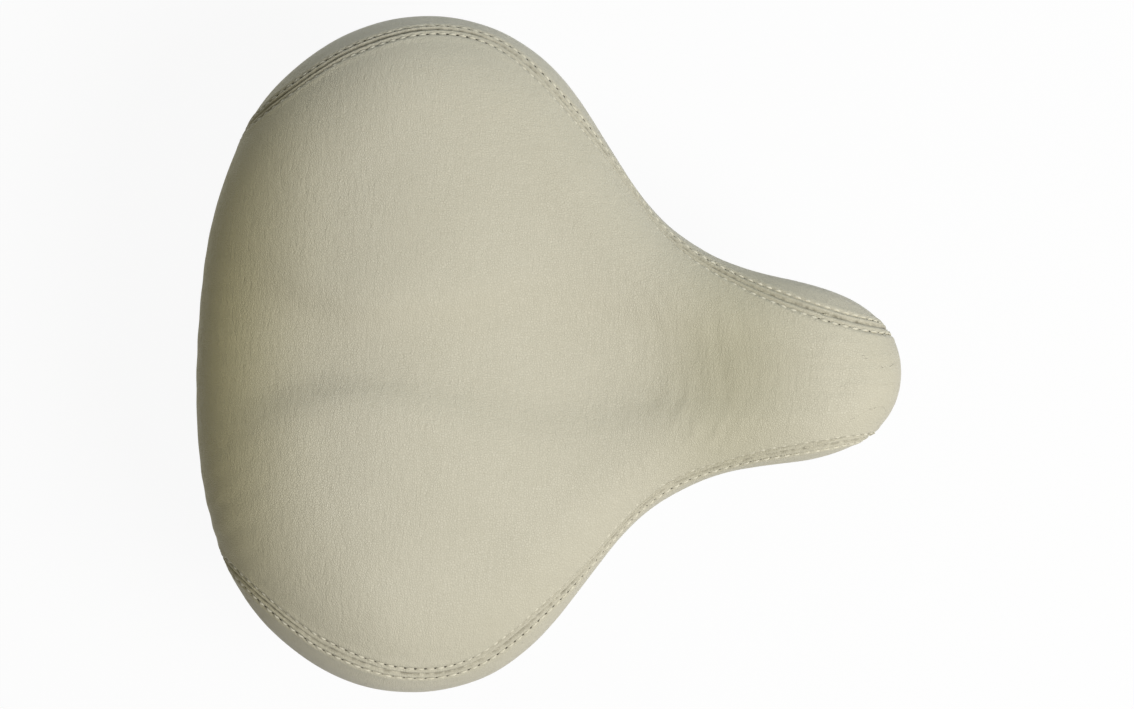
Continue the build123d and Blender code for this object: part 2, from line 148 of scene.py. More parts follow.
class Signal:
    """One value of a shader, with the usual arithmetic."""

    def __init__(self, tree, socket):
        self.tree = tree
        self.socket = socket

    def node(self, kind, settings=None, inputs=None, output=0):
        made = self.tree.nodes.new(kind)
        for key, value in (settings or {}).items():
            setattr(made, key, value)
        for key, value in (inputs or {}).items():
            if isinstance(value, Signal):
                self.tree.links.new(value.socket, made.inputs[key])
            else:
                made.inputs[key].default_value = value
        return Signal(self.tree, made.outputs[output])

    def maths(self, operation, first, second=0.0):
        return self.node("ShaderNodeMath", {"operation": operation}, {0: first, 1: second})

    def __add__(self, other):
        return self.maths("ADD", self, other)

    def __radd__(self, other):
        return self.maths("ADD", other, self)

    def __sub__(self, other):
        return self.maths("SUBTRACT", self, other)

    def __rsub__(self, other):
        return self.maths("SUBTRACT", other, self)

    def __mul__(self, other):
        return self.maths("MULTIPLY", self, other)

    def __rmul__(self, other):
        return self.maths("MULTIPLY", other, self)

    def __abs__(self):
        return self.maths("ABSOLUTE", self)

    def power(self, exponent):
        return self.maths("POWER", self, exponent)

    def clamp(self):
        return self.node("ShaderNodeClamp", inputs={"Value": self})

    def noise(self, scale, detail=3.0, stretch=(1, 1, 1)):
        spot = self.node("ShaderNodeMapping", inputs={"Vector": self, "Scale": stretch})
        return spot.node("ShaderNodeTexNoise", inputs={"Vector": spot, "Scale": scale, "Detail": detail})

    def cells(self, scale, feature="DISTANCE_TO_EDGE"):
        return self.node("ShaderNodeTexVoronoi", {"feature": feature}, {"Vector": self, "Scale": scale})

    def tint(self, low, high):
        """Colour from low to high as this value goes from 0 to 1."""
        return self.blend_colours((*low, 1), (*high, 1))

    def blend_colours(self, first, second):
        inputs = {MIX_SHARE: self, MIX_FIRST: first, MIX_SECOND: second}
        return self.node("ShaderNodeMix", {"data_type": "RGBA"}, inputs, MIX_RESULT)

    def axis(self, name):
        return self.node("ShaderNodeSeparateXYZ", inputs={"Vector": self}, output=name)

    def mound(self, middle, reach):
        """Near 1 where this value is within a reach of the middle, and 0 far from it."""
        away = (self - middle) * (1.0 / reach)
        return self.maths("EXPONENT", away * away * -1.0)

    def bump(self, depth, strength=1.0, under=None):
        inputs = {"Height": self, "Distance": depth, "Strength": strength}
        if under is not None:
            inputs["Normal"] = under
        return self.node("ShaderNodeBump", inputs=inputs)


# %% [markdown]
# ## The finish of a part
# `Finish` opens a material, hands out its coordinates as Signals and wires colour, roughness and bump
# into one Principled shader. Values that are the same all over are set on the shader itself.

# %% The Finish class
wear_contrast = 6.0


def linear(red, green, blue):
    """Shader colour of a screen colour given in 0 to 255."""
    return tuple(((part / 255 + 0.055) / 1.055) ** 2.4 for part in (red, green, blue))


class Finish:
    def __init__(self, name):
        self.material = bpy.data.materials.new(name)
        self.material.use_nodes = True
        self.tree = self.material.node_tree
        self.shader = self.tree.nodes["Principled BSDF"]
        self.here = Signal(self.tree, None)

    def place(self):
        """Where a surface point is, in the object's own coordinates."""
        return self.here.node("ShaderNodeTexCoord", output="Object")

    def attribute(self, name):
        """A number stored on the mesh, as a Signal."""
        return self.here.node("ShaderNodeAttribute", {"attribute_name": name}, output="Fac")

    def edge_wear(self, radius):
        """Near 1 where a part has a sharp edge within the radius."""
        bevel = self.here.node("ShaderNodeBevel", {"samples": 4}, {"Radius": radius})
        flat = self.here.node("ShaderNodeNewGeometry", output="Normal")
        match = bevel.node("ShaderNodeVectorMath", {"operation": "DOT_PRODUCT"},
                           {0: bevel, 1: flat}, output="Value")
        return ((1 - match) * wear_contrast).clamp()

    def set(self, **values):
        for key, value in values.items():
            socket = self.shader.inputs[key.replace("_", " ")]
            if isinstance(value, Signal):
                self.tree.links.new(value.socket, socket)
            else:
                socket.default_value = value
        return self.material


# %% [markdown]
# ## Soft synthetic leather
# The cover is an embossed synthetic leather. Its grain is a net of tiny cells, so the bump comes from
# Voronoi edges broken up by noise. Broad noise shifts the colour a little. The tail and the waist get a
# darker, yellower painted shade, and the `seam` number that the panels store darkens the valley between
# two folded edges with dust and painted shade. The `stitch_line` number paints a little shade into the
# stitch rows.

# %% Colours and depths of the leather
leather_deep = linear(190, 185, 164)
leather_pale = linear(204, 199, 180)
leather_pore = linear(150, 145, 124)
leather_tail_shade = linear(168, 160, 116)
leather_waist_shade = linear(176, 171, 140)
seam_dust_and_shade = linear(104, 97, 78)
grain_scale = 1150.0
wrinkle_depth = 0.00007
crease_depth = 0.00060
pebble_depth = 0.00022
tail_shade_reach = 0.034
waist_shade_x = 0.060
waist_shade_length = 0.026
waist_shade_width = 0.045


# %% Cover leather
def cover_leather():
    finish = Finish("cover_leather")
    place = finish.place()
    fine = place.cells(grain_scale)
    pebble = (fine * 5.0).clamp() * 0.6 + place.noise(1900.0, 2.0) * 0.4
    lengthwise = place.noise(230.0, 6.0, (0.55, 1.5, 1.0))
    crosswise = place.noise(360.0, 4.0, (1.7, 0.4, 1.0))
    crease = lengthwise * 0.5 + crosswise * 0.5
    cloud = place.noise(22.0, 4.0)
    speck = place.noise(520.0, 3.0)
    tone = (cloud * 0.7 + speck * 0.3 - 0.5) * 1.1 + 0.5
    base = tone.clamp().tint(leather_deep, leather_pale)
    pores = (1 - (fine * 7.0).clamp()) * 0.22
    grained = pores.blend_colours(base, (*leather_pore, 1))
    # Painted shade: the tail, turned away from the key lamp, is painted darker and yellower.
    tail_shade = (place.axis("X").mound(tail_x * MM, tail_shade_reach) * 0.95).clamp()
    grained = tail_shade.blend_colours(grained, (*leather_tail_shade, 1))
    # Painted shade: the waist is painted darker and yellower, as the shade that falls there.
    waist = place.axis("X").mound(waist_shade_x, waist_shade_length) * place.axis("Y").mound(0.0, waist_shade_width) * 0.55
    grained = waist.clamp().blend_colours(grained, (*leather_waist_shade, 1))
    # Dust and painted shade: the seam valley is darkened by patchy dust and painted shade, and the stitch
    # rows by painted shade alone.
    seam = finish.attribute("seam")
    patchy = place.noise(420.0, 3.0) * 2.4 - 0.85
    dark = (seam * patchy).clamp() + finish.attribute("stitch_line") * 0.16
    colour = dark.clamp().blend_colours(grained, (*seam_dust_and_shade, 1))
    fold = place.noise(200.0, 4.0, (1.3, 0.55, 1.0)) - 0.5
    wrinkle = 1 - (abs(fold) * 14.0).clamp()
    worked = place.noise(30.0, 2.0).power(2.0) * 2.0
    relief = (wrinkle * worked * -1.0).bump(wrinkle_depth, 0.8)
    relief = crease.bump(crease_depth, 0.70, relief)
    relief = pebble.bump(pebble_depth, 0.70, relief)
    rough = 0.50 + speck * 0.12 + seam * 0.15
    return finish.set(Base_Color=colour, Roughness=rough, Normal=relief, Specular_IOR_Level=0.38,
                      Sheen_Weight=0.06, Sheen_Roughness=0.5)


leather = cover_leather()

# %% [markdown]
# ## Thread and needle holes
# The topstitch is a thick bonded thread, a shade lighter than the leather. Each needle hole is a tiny
# dent between one stitch and the next, painted dark as the shadow inside it.

# %% Thread and hole materials
def stitch_thread():
    finish = Finish("stitch_thread")
    place = finish.place()
    ply = place.noise(2600.0, 2.0, (1.0, 0.4, 1.0))
    shade = place.noise(90.0, 3.0)
    colour = (shade * 0.7 + ply * 0.3).clamp().tint(linear(190, 185, 162), linear(228, 223, 205))
    return finish.set(Base_Color=colour, Roughness=0.55 + ply * 0.2, Normal=ply.bump(0.0002, 0.8))


# Painted shade: the hole's dark colour stands for the shadow inside the needle hole.
def hole_painted_shade():
    finish = Finish("needle_hole")
    shade = finish.place().noise(900.0, 2.0)
    return finish.set(Base_Color=shade.tint(linear(44, 39, 28), linear(78, 71, 54)), Roughness=0.9)


thread = stitch_thread()
hole_shade_finish = hole_painted_shade()

# %% [markdown]
# ## Moulded, plated and painted parts
# Under the saddle there are five more finishes: black moulded plastic, zinc-plated pressings, bright
# fixings, chromed wire and black-coated clamp steel. Each one has a grain of its own and is worn paler
# along its edges. The foam is a sixth: pale cells with small pores.

# %% Hard finishes
def moulded_plastic():
    finish = Finish("moulded_plastic")
    place = finish.place()
    grain = place.noise(700.0, 3.0)
    cloud = place.noise(30.0, 3.0)
    tone = (cloud * 0.7 + finish.edge_wear(0.0008) * 0.5).clamp()
    colour = tone.tint(linear(26, 26, 28), linear(58, 58, 60))
    return finish.set(Base_Color=colour, Roughness=0.52 + cloud * 0.14, Normal=grain.bump(0.0002, 0.5),
                      Specular_IOR_Level=0.45)


def plated_steel(name, low, high, roughness, streak):
    finish = Finish(name)
    place = finish.place()
    rolled = place.noise(160.0, 4.0, streak)
    cloud = place.noise(45.0, 3.0)
    tone = (rolled * 0.45 + cloud * 0.35 + finish.edge_wear(0.0006) * 0.35).clamp()
    return finish.set(Base_Color=tone.tint(low, high), Metallic=1.0, Roughness=roughness + rolled * 0.16,
                      Normal=rolled.bump(0.00008, 0.35))


def coated_clamp():
    finish = Finish("coated_clamp")
    place = finish.place()
    peel = place.noise(420.0, 2.0)
    worn = (finish.edge_wear(0.0009) * (0.5 + place.noise(300.0, 4.0))).power(2.0).clamp()
    colour = worn.tint(linear(30, 30, 32), linear(134, 134, 136))
    return finish.set(Base_Color=colour, Metallic=worn * 0.8, Roughness=0.36 + peel * 0.16,
                      Normal=peel.bump(0.00015, 0.4), Coat_Weight=0.25, Coat_Roughness=0.2)


def open_foam():
    finish = Finish("open_foam")
    place = finish.place()
    pore = place.cells(800.0, "F1")
    colour = (pore * 1.2).clamp().tint(linear(236, 226, 190), linear(206, 192, 150))
    return finish.set(Base_Color=colour, Roughness=0.92, Normal=pore.bump(0.0006, 0.8))


plastic = moulded_plastic()
zinc = plated_steel("zinc_plate", linear(120, 122, 126), linear(176, 178, 180),
                    roughness=0.30, streak=(0.3, 2.0, 1.0))
bright_zinc = plated_steel("bright_zinc", linear(150, 150, 148), linear(206, 205, 198),
                           roughness=0.24, streak=(1.0, 1.0, 1.0))
chrome = plated_steel("chromed_wire", linear(188, 190, 194), linear(224, 225, 228),
                      roughness=0.10, streak=(0.5, 1.0, 1.0))
clamp_coat = coated_clamp()
foam_finish = open_foam()

slot_finish = {"base": plastic, "zinc": zinc, "fixings": bright_zinc, "rail": chrome, "spring": chrome,
               "clamp": clamp_coat, "cover": leather, "foam": foam_finish}
for part in frame["record"]["subparts"]:
    node = frame["nodes"][part["node"]]
    node.data.materials.clear()
    node.data.materials.append(slot_finish[part["material_slot"]])
print("finishes on", len(frame["nodes"]), "frame parts")

# %% [markdown]
# ## The cover, cut flat
# A saddle cover is cut flat and pulled down over the foam. The model does the same: points are laid out
# on a flat pattern, and `fold_down` lays them on the cushion, rolls them over the rim and tucks them
# under the base. Pushing faces about by hand could not keep two panels in step along one seam.

# %% Sizes of the cushion
# Each list starts its pairs with a share of the length, from the tail at 0 to the nose at 1. The outline's
# second numbers are shares of the half width, and all the others are millimetres.
length = round((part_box("cover_centre_panel")[1].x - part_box("cover_centre_panel")[0].x) / MM)
half_width = (cad_box[1].y - cad_box[0].y) / 2 / MM
outline_shape = [
    (0, 0), (0.025, 0.463), (0.081, 0.729), (0.185, 0.924), (0.326, 1.0), (0.452, 0.920), (0.556, 0.687),
    (0.652, 0.431), (0.763, 0.304), (0.874, 0.256), (0.948, 0.193), (0.989, 0.100), (1.0, 0),
]
crown_height = [(0, 112.0), (0.26, 118.0), (0.633, 101.0), (0.874, 105.0), (1.0, 101.0)]
channel_depth = [(0, 3.4), (0.15, 5.2), (0.40, 4.8), (0.62, 4.2), (0.83, 0.0), (1.0, 0.0)]
channel_half_width = [(0, 34.0), (0.24, 14.0), (0.51, 25.0), (0.72, 15.0), (1.0, 15.0)]
side_fall = [(0, 5.0), (0.3, 7.0), (0.65, 5.0), (1.0, 4.0)]
edge_round = [(0, 46.0), (0.3, 40.0), (0.65, 27.0), (0.88, 22.0), (1.0, 19.0)]
edge_drop = [(0, 33.0), (0.3, 30.0), (0.65, 22.0), (0.88, 20.0), (1.0, 19.0)]
base_underside = [(0, 67.0), (0.16, 62.0), (0.58, 55.5), (0.87, 59.5), (1.0, 60.0)]
channel_flatness = 0.80
channel_steepness = 6
edge_squareness = 2.3
skirt_tuck = 7.0
skirt_foot = 40.0
skirt_share = 0.9
hem_drop = 1.5
hem_turn = 0.42
print("cushion", length, "x", round(2 * half_width, 1))


# %% [markdown]
# ## The shape of the cushion
# The top is a crown with a long shallow hollow along the middle and a fall towards both sides. Each of
# these changes from tail to nose, so each is a list of stations that `ease` joins smoothly. The outline
# is one closed spline, because a polygon would leave corners in the rim.

# %% The cushion's shape
def ease(place, stations):
    """Value at a share of the length, eased smoothly from one station to the next."""
    places = np.array([station[0] for station in stations])
    values = np.array([station[1] for station in stations])
    before = np.clip(np.searchsorted(places, place, side="right") - 1, 0, len(places) - 2)
    share = np.clip((place - places[before]) / (places[before + 1] - places[before]), 0, 1)
    return values[before] + (values[before + 1] - values[before]) * share * share * (3 - 2 * share)


def share_of_length(x):
    return (np.asarray(x) - tail_x) / length


def crown(x, y):
    """Height of the cushion's top before its edge is rounded."""
    along = share_of_length(x)
    across = np.abs(y / ease(along, channel_half_width))
    bowl = np.clip(1 - across ** 2, 0, 1) ** 2
    flat_floor = 1 / (1 + across ** channel_steepness)
    channel = (1 - channel_flatness) * bowl + channel_flatness * flat_floor
    fall = ease(along, side_fall) * (y / half_width) ** 2
    return ease(along, crown_height) - ease(along, channel_depth) * channel - fall


def closed_curve(points, samples):
    """Evenly spaced points on the smooth closed curve through the given points."""
    steps_between = 200
    points = np.array(points, float)
    count = len(points)
    chord = np.linalg.norm(np.roll(points, -1, 0) - points, axis=1)
    before = np.roll(chord, 1)
    system = np.diag(2 * (before + chord))
    right = np.zeros((count, 2))
    for i in range(count):
        system[i, i - 1] += before[i]
        system[i, (i + 1) % count] += chord[i]
        ahead = (points[(i + 1) % count] - points[i]) / chord[i]
        right[i] = 6 * (ahead - (points[i] - points[i - 1]) / before[i])
    bend = np.linalg.solve(system, right)
    dense = []
    for i in range(count):
        j = (i + 1) % count
        step = np.linspace(0, chord[i], steps_between, endpoint=False)[:, None]
        rest = chord[i] - step
        curve = (bend[i] * rest ** 3 + bend[j] * step ** 3) / (6 * chord[i])
        curve += (points[i] / chord[i] - bend[i] * chord[i] / 6) * rest
        curve += (points[j] / chord[i] - bend[j] * chord[i] / 6) * step
        dense.append(curve)
    dense = np.concatenate(dense + [points[:1]])
    run = np.concatenate([[0], np.cumsum(np.linalg.norm(np.diff(dense, axis=0), axis=1))])
    wanted = np.linspace(0, run[-1], samples, endpoint=False)
    return np.column_stack([np.interp(wanted, run, dense[:, k]) for k in range(2)])


near_side = [(tail_x + along * length, across * half_width) for along, across in outline_shape]
far_side = [(x, -y) for x, y in near_side[-2:0:-1]]
rim_samples = 2400
rim = closed_curve(near_side + far_side, rim_samples)
rim_along = np.roll(rim, -1, axis=0) - np.roll(rim, 1, axis=0)
rim_along = rim_along / np.linalg.norm(rim_along, axis=1)[:, None]
rim_inward = np.stack([rim_along[:, 1], -rim_along[:, 0]], axis=1)
print("rim runs from", rim.min(0).round(1), "to", rim.max(0).round(1))


# %% [markdown]
# ## From flat to folded
# Leather can't stretch much as it goes over the rim, so a point keeps its distance from the rim's line.
# That distance is measured along the rounded edge. Past the edge the skirt leans in by skirt_tuck as it
# falls towards skirt_foot. Where it would hang lower than the base, it turns inwards as the hem instead,
# by hem_turn for each millimetre.

# %% Folding the flat pattern over the rim
# Places along the rim are shares of half its length, so one whole turn is 2.
whole_turn = 2
turn = np.linspace(0, math.pi / 2, 600)
round_inset = 1 - np.sin(turn) ** (2 / edge_squareness)
round_drop = 1 - np.cos(turn) ** (2 / edge_squareness)
round_run = np.concatenate([[0], np.cumsum(np.hypot(np.diff(round_inset), np.diff(round_drop)))])
round_end = round_run[-1]
skirt_end = round_end + skirt_share


def nearest_rim(flat):
    """For each flat point: its nearest rim sample, and how far it lies along and inside it."""
    at_a_time = 4000
    nearest = np.empty(len(flat), int)
    for start in range(0, len(flat), at_a_time):
        block = flat[start:start + at_a_time]
        away = (block[:, 0, None] - rim[None, :, 0]) ** 2 + (block[:, 1, None] - rim[None, :, 1]) ** 2
        nearest[start:start + at_a_time] = np.argmin(away, axis=1)
    offset = flat - rim[nearest]
    along = (offset * rim_along[nearest]).sum(axis=1)
    depth = (offset * rim_inward[nearest]).sum(axis=1)
    return nearest, along, depth


def fold_down(flat):
    """Lay flat cover points on the cushion, over its rim, down its skirt and under the base."""
    nearest, along, depth = nearest_rim(flat)
    inward = rim_inward[nearest]
    foot = rim[nearest] + rim_along[nearest] * along[:, None]
    place = share_of_length(foot[:, 0])
    reach = ease(place, edge_round)
    run = (reach - depth) / reach
    inset = np.where(run <= 0, depth, reach * np.interp(run, round_run, round_inset))
    down = np.clip((run - round_end) / skirt_share, 0, 1)
    inset = inset + skirt_tuck * down ** 2
    plan = foot + inward * inset[:, None]
    drop = ease(place, edge_drop) * np.interp(run, round_run, round_drop)
    height = crown(plan[:, 0], plan[:, 1]) - drop
    height = height + (skirt_foot - height) * down
    hem = ease(share_of_length(plan[:, 0]), base_underside) - hem_drop
    below = np.clip(hem - height, 0, None)
    plan = plan + inward * (below * hem_turn)[:, None]
    return np.column_stack([plan, np.maximum(height, hem)])


def skin(flat, lift=0.0):
    """Points of the cover and the directions that face out of it."""
    step = 0.4
    point = fold_down(flat)
    ahead = fold_down(flat + [step, 0]) - fold_down(flat - [step, 0])
    across = fold_down(flat + [0, step]) - fold_down(flat - [0, step])
    normal = np.cross(ahead, across)
    normal = normal / np.maximum(np.linalg.norm(normal, axis=1), 1e-9)[:, None]
    return point + normal * np.reshape(lift, (-1, 1)), normal


def hem_edge(turns):
    """Flat outer edge of the cover at places along the rim, counted from the tail."""
    index = np.round(np.mod(turns / whole_turn, 1) * rim_samples).astype(int) % rim_samples
    reach = ease(share_of_length(rim[index, 0]), edge_round)
    return rim[index] - rim_inward[index] * (reach * (skirt_end - 1))[:, None]


# %% [markdown]
# ## Where the seams run
# One seam on each side joins the wide centre panel to a side panel. It climbs the skirt at the rear
# corner, follows the rim, and goes down the skirt again beside the nose. It is a hand-guided line, so the
# centre panel sits a millimetre or two off the middle, and more so at the nose.

# %% Seam lines on the flat pattern
seam_shape = [
    (0.054, 0.629), (0.096, 0.702), (0.155, 0.795), (0.215, 0.872), (0.320, 0.939), (0.422, 0.895),
    (0.541, 0.671), (0.659, 0.382), (0.778, 0.255), (0.896, 0.187), (0.967, 0.157),
]
seam_drift = [(0, 0.4), (0.3, 1.3), (0.6, 0.9), (0.9, -2.4), (1, -1.8)]
tail_sweep = 0.045
nose_sweep = 0.012
rows = 430
clear_of_rim = 0.3
seam_samples = 500
seam_softness = 7


def through(points, steps):
    """Smooth open curve through points (Catmull-Rom)."""
    ends = [2 * points[0] - points[1], *points, 2 * points[-1] - points[-2]]
    curve = []
    for a, b, c, d in zip(ends, ends[1:], ends[2:], ends[3:]):
        for t in np.linspace(0, 1, steps, endpoint=False):
            curve.append(0.5 * (2 * b + (c - a) * t + (2 * a - 5 * b + 4 * c - d) * t ** 2
                                + (3 * b - a - 3 * c + d) * t ** 3))
    return np.array(curve + [points[-1]])


def resample(points, count, space=None):
    """The same line with evenly spaced points, measured in its own space or in another."""
    space = points if space is None else space
    run = np.concatenate([[0], np.cumsum(np.linalg.norm(np.diff(space, axis=0), axis=1))])
    wanted = np.linspace(0, run[-1], count)
    return np.column_stack([np.interp(wanted, run, points[:, k]) for k in range(points.shape[1])])


def soften(points, reach):
    """Smooth a line with its two ends held."""
    pad = 3 * reach
    front = 2 * points[0] - points[pad:0:-1]
    back = 2 * points[-1] - points[-2:-pad - 2:-1]
    long_line = np.concatenate([front, points, back])
    weight = np.exp(-0.5 * (np.arange(-pad, pad + 1) / reach) ** 2)
    weight = weight / weight.sum()
    return np.column_stack([np.convolve(long_line[:, k], weight, "valid") for k in range(2)])


def seam_on_pattern(side):
    """The seam of one side on the flat pattern, from the tail's hem to the nose's hem."""
    plan = np.array([(tail_x + along * length, side * across * half_width) for along, across in seam_shape])
    plan[:, 1] += ease(share_of_length(plan[:, 0]), seam_drift)
    plan = through(list(plan), 12)
    nearest, along, depth = nearest_rim(plan)
    inside = depth > clear_of_rim
    nearest, along, depth = nearest[inside], along[inside], depth[inside]
    reach = ease(share_of_length(rim[nearest, 0]), edge_round)
    curled = np.interp(depth / reach, round_inset[::-1], round_run[::-1])
    run = np.where(depth < reach, curled, 1 - depth / reach)
    foot = rim[nearest] + rim_along[nearest] * along[:, None]
    top = foot + rim_inward[nearest] * (reach * (1 - run))[:, None]
    share = nearest / rim_samples * whole_turn
    tail_share = share[0] - side * tail_sweep
    nose_share = share[-1] + side * nose_sweep
    line = np.concatenate([hem_edge(np.array([tail_share])), top, hem_edge(np.array([nose_share]))])
    line = soften(resample(line, seam_samples), seam_softness)
    lifted = fold_down(line)
    return resample(line, rows + 1, space=lifted), tail_share, nose_share


def folded_length(line):
    return np.linalg.norm(np.diff(fold_down(line), axis=0), axis=1).sum()


seams = {side: seam_on_pattern(side) for side in (1, -1)}
seam_length = {side: folded_length(seams[side][0]) for side in (1, -1)}
print("seam lengths", {side: round(value, 1) for side, value in seam_length.items()})

# %% [markdown]
# ## What the sewing does to the surface
# The two panels are sewn face to face, opened, and topstitched on both sides. Close to the seam the
# leather dives into a narrow valley. Beside it a ridge of folded leather swells, the stitch row presses it
# down, and it swells once more before it lies flat on the foam. At the needle holes, between one stitch
# and the next, the row lies deepest and the ridge puckers.

# %% Relief of the seam and the soft surface
stitch_row = 3.1
stitch_pitch = 4.0
valley_depth = 0.85
valley_reach = 0.80
ridge_height = 0.50
ridge_place = 1.55
ridge_reach = 0.75
row_depth = 0.50
row_reach = 0.60
puff_height = 0.42
puff_place = 4.9
puff_reach = 1.3
seam_calm = 4.0


def wander(points, scale, seed):
    """Slow smooth noise at points, from about -1 to 1."""
    return np.array([noise.noise(Vector((x * scale, y * scale, z * scale + seed))) for x, y, z in points])


def hill(value, middle, reach):
    return np.exp(-((value - middle) / reach) ** 2)


def seam_relief(away, along, uneven):
    """Height of the leather near a seam, from the distance to it and the run along it."""
    pucker = 0.5 - 0.5 * np.cos(2 * math.pi * along / stitch_pitch)
    height = -valley_depth * (0.8 + 0.4 * uneven) * hill(away, 0, valley_reach)
    height += ridge_height * (0.75 + 0.35 * uneven - 0.20 * pucker) * hill(away, ridge_place, ridge_reach)
    height -= row_depth * (0.55 + 0.45 * pucker) * hill(away, stitch_row, row_reach)
    height += puff_height * (0.8 + 0.5 * uneven) * hill(away, puff_place, puff_reach)
    return height


def ripple(run, pitch):
    return np.sin(2 * math.pi * run / pitch)


def soft_relief(points):
    """Creases and waves of the stretched leather over its foam, in patches counted from the tail."""
    x = points[:, 0] - tail_x
    y = points[:, 1]
    broad = wander(points, 0.022, 3.0)
    lumpy = wander(points, 0.06, 9.0)
    height = 0.45 * broad + 0.18 * lumpy
    waist = hill(x, 188, 26) * hill(y, 0, 42)
    bend = 5.0 * wander(points, 0.05, 21.0) + 0.012 * y ** 2
    height += waist * 0.17 * ripple(x + bend, 8.5) * (0.4 + lumpy)
    nose_streaks = hill(x, 246, 20) * hill(y, 0, 16)
    height += nose_streaks * 0.10 * ripple(y + 2.5 * broad, 5.5)
    right_corner = hill(x, 18, 16) * hill(y, -62, 26)
    height += right_corner * 0.22 * ripple(x * 0.55 - y * 0.8 + 3 * lumpy, 10.0)
    tail = hill(x, 10, 14) * hill(y, 8, 34)
    height += tail * 0.16 * ripple(y + 3 * lumpy, 13.0)
    return height


def sewn_lift(bare, away, along):
    """How far the sewn leather stands off the cushion, at points with their places by the seam."""
    uneven = wander(bare, 0.11, 40.0)
    return seam_relief(away, along, uneven) + soft_relief(bare) * (1 - hill(away, 0, seam_calm))


# %% [markdown]
# ## Folding a panel
# A panel starts as a grid primitive, which gives the even rows of faces that creases need. Each grid
# point is then sent to its own place on the flat pattern and folded down. Solidify gives the leather its
# thickness, on the inside, so that the outer face stays where it is.

# %% From a grid to a panel
cover_thickness = 1.2
weld_distance = 0.02
mark_reach = 0.9
# Distances of the first columns from a seam, close together where the relief is steep.
near_seam = np.array([0, 0.25, 0.5, 0.8, 1.1, 1.5, 1.9, 2.3, 2.7, 3.1, 3.5, 4.0, 4.6, 5.4, 6.4, 7.6, 9.0])
centre_columns = 76
side_columns = 30


def spread_columns(width, count, both):
    """Distances across a panel: close together beside a seam, even in between."""
    room = near_seam[-1] * (2.4 if both else 1.3)
    first = near_seam[None, :] * np.clip(width / room, 0, 1)[:, None]
    edge = first[:, -1:]
    if both:
        middle = edge + (width[:, None] - 2 * edge) * np.linspace(0, 1, count)[None, 1:-1]
        return np.concatenate([first, middle, width[:, None] - first[:, ::-1]], axis=1)
    middle = edge + (width[:, None] - edge) * np.linspace(0, 1, count)[None, 1:]
    return np.concatenate([first, middle], axis=1)


def panel_from_grid(name, flat, away, along):
    """A panel of leather from rows of flat points, and each point's distance to its seam."""
    row_count, column_count = away.shape
    select_only()
    bpy.ops.mesh.primitive_grid_add(x_subdivisions=column_count - 1, y_subdivisions=row_count - 1, size=2)
    panel = newest(name)
    mesh = panel.data
    start = np.empty(len(mesh.vertices) * 3)
    mesh.vertices.foreach_get("co", start)
    start = start.reshape(-1, 3)
    column = np.round((start[:, 0] + 1) / 2 * (column_count - 1)).astype(int)
    row = np.round((start[:, 1] + 1) / 2 * (row_count - 1)).astype(int)
    flat_points = flat[row, column]
    distance = away[row, column]
    bare, _ = skin(flat_points)
    points, _ = skin(flat_points, sewn_lift(bare, distance, along[row, column]))
    mesh.vertices.foreach_set("co", (points * MM).ravel())
    for label, middle in (("seam", 0), ("stitch_line", stitch_row)):
        attribute = mesh.attributes.new(label, "FLOAT", "POINT")
        attribute.data.foreach_set("value", hill(distance, middle, mark_reach).astype(np.float32))
    mesh.update()
    start_edit(panel)
    bpy.ops.mesh.remove_doubles(threshold=weld_distance * MM)
    end_edit()
    return panel


def thicken(panel):
    top = max(panel.data.polygons, key=lambda face: face.center.z)
    if top.normal.z < 0:
        start_edit(panel)
        bpy.ops.mesh.flip_normals()
        end_edit()
    apply_modifier(panel, "SOLIDIFY", thickness=cover_thickness * MM, offset=-1.0)
    smooth(panel, angle=60)


# %% [markdown]
# ## The centre panel
# The wide panel covers the top and runs down the skirt at the tail and at the nose. Its two long sides
# are the seams, and its two short sides are hems. A grid that is blended between four border lines
# follows all of them, which a plain flat grid could not.

# %% Centre panel
def centre_panel():
    left, left_tail, left_nose = seams[1]
    right, right_tail, right_nose = seams[-1]
    width = np.linalg.norm(right - left, axis=1)
    across = spread_columns(width, centre_columns, True)
    share = across / width[:, None]
    u = np.linspace(0, 1, rows + 1)[:, None, None]
    v = share[:, :, None]
    flat = (1 - v) * left[:, None] + v * right[:, None]
    tail_share = left_tail + (right_tail - whole_turn - left_tail) * share.ravel()
    nose_share = left_nose + (right_nose - left_nose) * share.ravel()
    tail = hem_edge(tail_share).reshape(*share.shape, 2)
    nose = hem_edge(nose_share).reshape(*share.shape, 2)
    flat = flat + (1 - u) * (tail - (1 - v) * left[0] - v * right[0])
    flat = flat + u * (nose - (1 - v) * left[-1] - v * right[-1])
    away = np.minimum(across, width[:, None] - across)
    along = np.linspace(0, 1, rows + 1)[:, None] * np.where(share < 0.5, seam_length[1], seam_length[-1])
    return panel_from_grid("centre_panel", flat, away, along)


centre = centre_panel()
thicken(centre)
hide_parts("cover_centre_panel")
finish_piece(centre, leather, "seat")


# %% [markdown]
# ## The side panels
# Each side panel is the band between its seam and the hem. Its rows run straight across from one to the
# other. It starts from the very line that the centre panel ends on, so the seam can't gape.

# %% Side panels
def side_panel(side, name):
    seam, tail_share, nose_share = seams[side]
    hem_share = np.linspace(tail_share, nose_share, rows + 1)
    hem = hem_edge(hem_share)
    hem = resample(hem, rows + 1, space=fold_down(hem))
    span = hem - seam
    width = np.linalg.norm(span, axis=1)
    across = spread_columns(np.maximum(width, 1e-6), side_columns, False)
    share = (across / np.maximum(width, 1e-6)[:, None])[:, :, None]
    flat = seam[:, None] + share * span[:, None]
    along = np.linspace(0, seam_length[side], rows + 1)[:, None] + 0 * across
    return panel_from_grid(name, flat, across, along)


